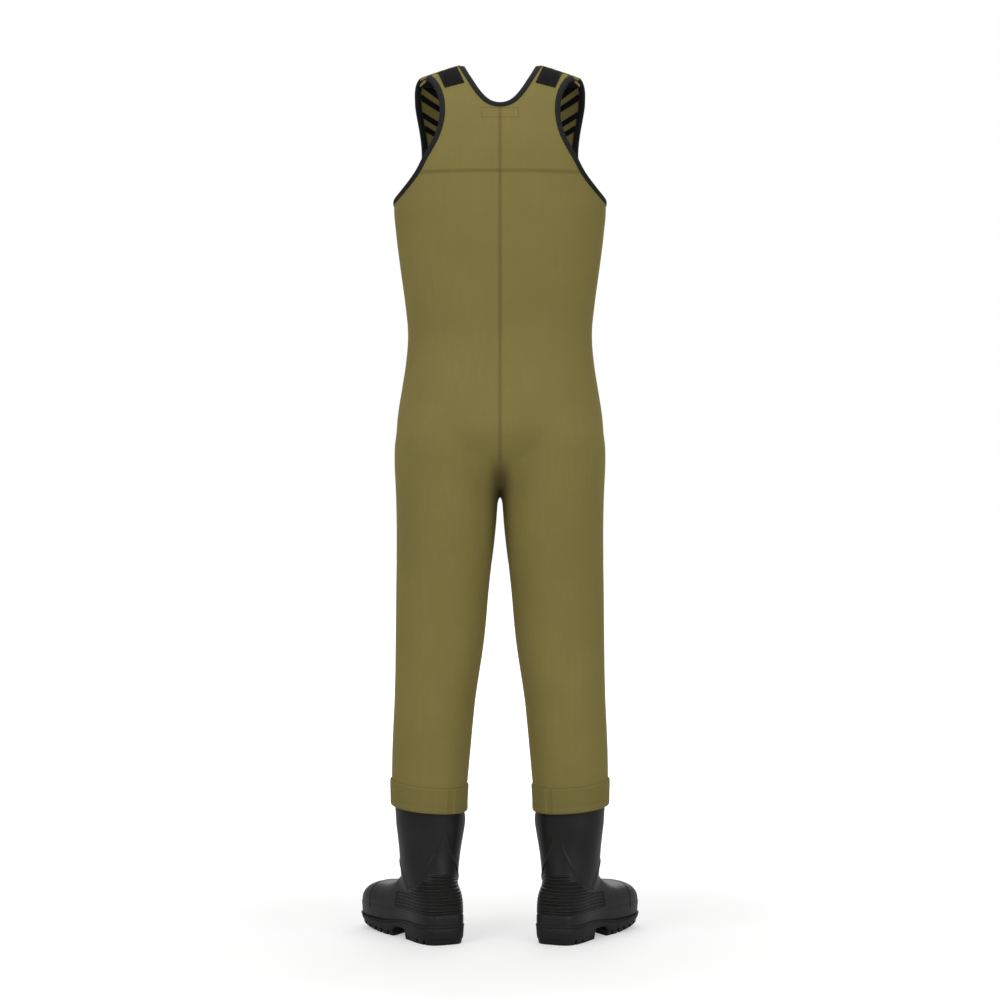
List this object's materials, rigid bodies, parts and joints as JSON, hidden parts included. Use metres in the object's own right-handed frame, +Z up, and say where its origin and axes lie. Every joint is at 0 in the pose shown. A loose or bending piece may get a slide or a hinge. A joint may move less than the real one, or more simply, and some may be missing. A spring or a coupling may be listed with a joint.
{
  "type": "chest waders",
  "caption": "Neoprene chest waders with a high back, fastening shoulder straps, cuffed legs and moulded rubber boots, standing upright.",
  "frame": {"origin": "on the floor under the middle of the whole, between the boots", "axes": "+Z up, +Y the way the wearer faces, so the wearer's left is -X"},
  "size_m": [0.4696, 0.3172, 1.505],
  "materials": {
    "neoprene": "olive knitted nylon over neoprene, matt",
    "binding": "black stretch tape, slight sheen",
    "hook_and_loop": "black napped pile, no gloss",
    "boot_rubber": "black moulded rubber, satin",
    "sole_rubber": "black moulded rubber, matt",
    "tape": "black seal tape, matt",
    "lining": "grey-green felt"
  },
  "bodies": {
    "torso": {"body_panel_left": "neoprene", "back_yoke_left": "neoprene", "hip_panel_left": "neoprene", "back_neck_binding_left": "binding", "front_neck_binding_left": "binding", "armhole_binding_left": "binding", "loop_patch_left": "hook_and_loop", "body_panel_right": "neoprene", "back_yoke_right": "neoprene", "hip_panel_right": "neoprene", "back_neck_binding_right": "binding", "front_neck_binding_right": "binding", "armhole_binding_right": "binding", "loop_patch_right": "hook_and_loop", "chest_pocket": "neoprene", "hanger_tab": "binding"},
    "strap_left": {"front_strap_left": "neoprene", "strap_binding_inner_left": "binding", "strap_binding_outer_left": "binding", "hook_patch_left": "hook_and_loop", "grip_bar_1_left": "hook_and_loop", "grip_bar_2_left": "hook_and_loop", "grip_bar_3_left": "hook_and_loop", "grip_bar_4_left": "hook_and_loop"},
    "thigh_left": {"thigh_panel_left": "neoprene", "knee_panel_left": "neoprene"},
    "shin_left": {"shin_panel_left": "neoprene", "cuff_left": "neoprene", "boot_upper_left": "boot_rubber", "boot_foxing_left": "boot_rubber", "boot_midsole_left": "sole_rubber", "boot_outsole_left": "sole_rubber", "boot_insole_left": "lining", "boot_seal_tape_left": "tape"},
    "strap_right": {"front_strap_right": "neoprene", "strap_binding_inner_right": "binding", "strap_binding_outer_right": "binding", "hook_patch_right": "hook_and_loop", "grip_bar_1_right": "hook_and_loop", "grip_bar_2_right": "hook_and_loop", "grip_bar_3_right": "hook_and_loop", "grip_bar_4_right": "hook_and_loop"},
    "thigh_right": {"thigh_panel_right": "neoprene", "knee_panel_right": "neoprene"},
    "shin_right": {"shin_panel_right": "neoprene", "cuff_right": "neoprene", "boot_upper_right": "boot_rubber", "boot_foxing_right": "boot_rubber", "boot_midsole_right": "sole_rubber", "boot_outsole_right": "sole_rubber", "boot_insole_right": "lining", "boot_seal_tape_right": "tape"}
  },
  "joints": [
    {"name": "hip_left", "type": "hinge", "parent": "torso", "child": "thigh_left", "pos_m": [-0.088, -0.03484, 0.85], "axis": [1, 0, 0], "range_deg": [-15, 70], "deforming": ["hip_panel_left"]},
    {"name": "knee_left", "type": "hinge", "parent": "thigh_left", "child": "shin_left", "pos_m": [-0.105, -0.02484, 0.48], "axis": [-1, 0, 0], "range_deg": [0, 85], "deforming": ["knee_panel_left"]},
    {"name": "strap_open_left", "type": "hinge", "parent": "torso", "child": "strap_left", "pos_m": [-0.097, 0.06616, 1.34], "axis": [-0.9511, -0.309, 0], "range_deg": [0, 130]},
    {"name": "hip_right", "type": "hinge", "parent": "torso", "child": "thigh_right", "pos_m": [0.088, -0.03484, 0.85], "axis": [1, 0, 0], "range_deg": [-15, 70], "deforming": ["hip_panel_right"]},
    {"name": "knee_right", "type": "hinge", "parent": "thigh_right", "child": "shin_right", "pos_m": [0.105, -0.02484, 0.48], "axis": [-1, 0, 0], "range_deg": [0, 85], "deforming": ["knee_panel_right"]},
    {"name": "strap_open_right", "type": "hinge", "parent": "torso", "child": "strap_right", "pos_m": [0.097, 0.06616, 1.34], "axis": [-0.9511, 0.309, 0], "range_deg": [0, 130]}
  ]
}
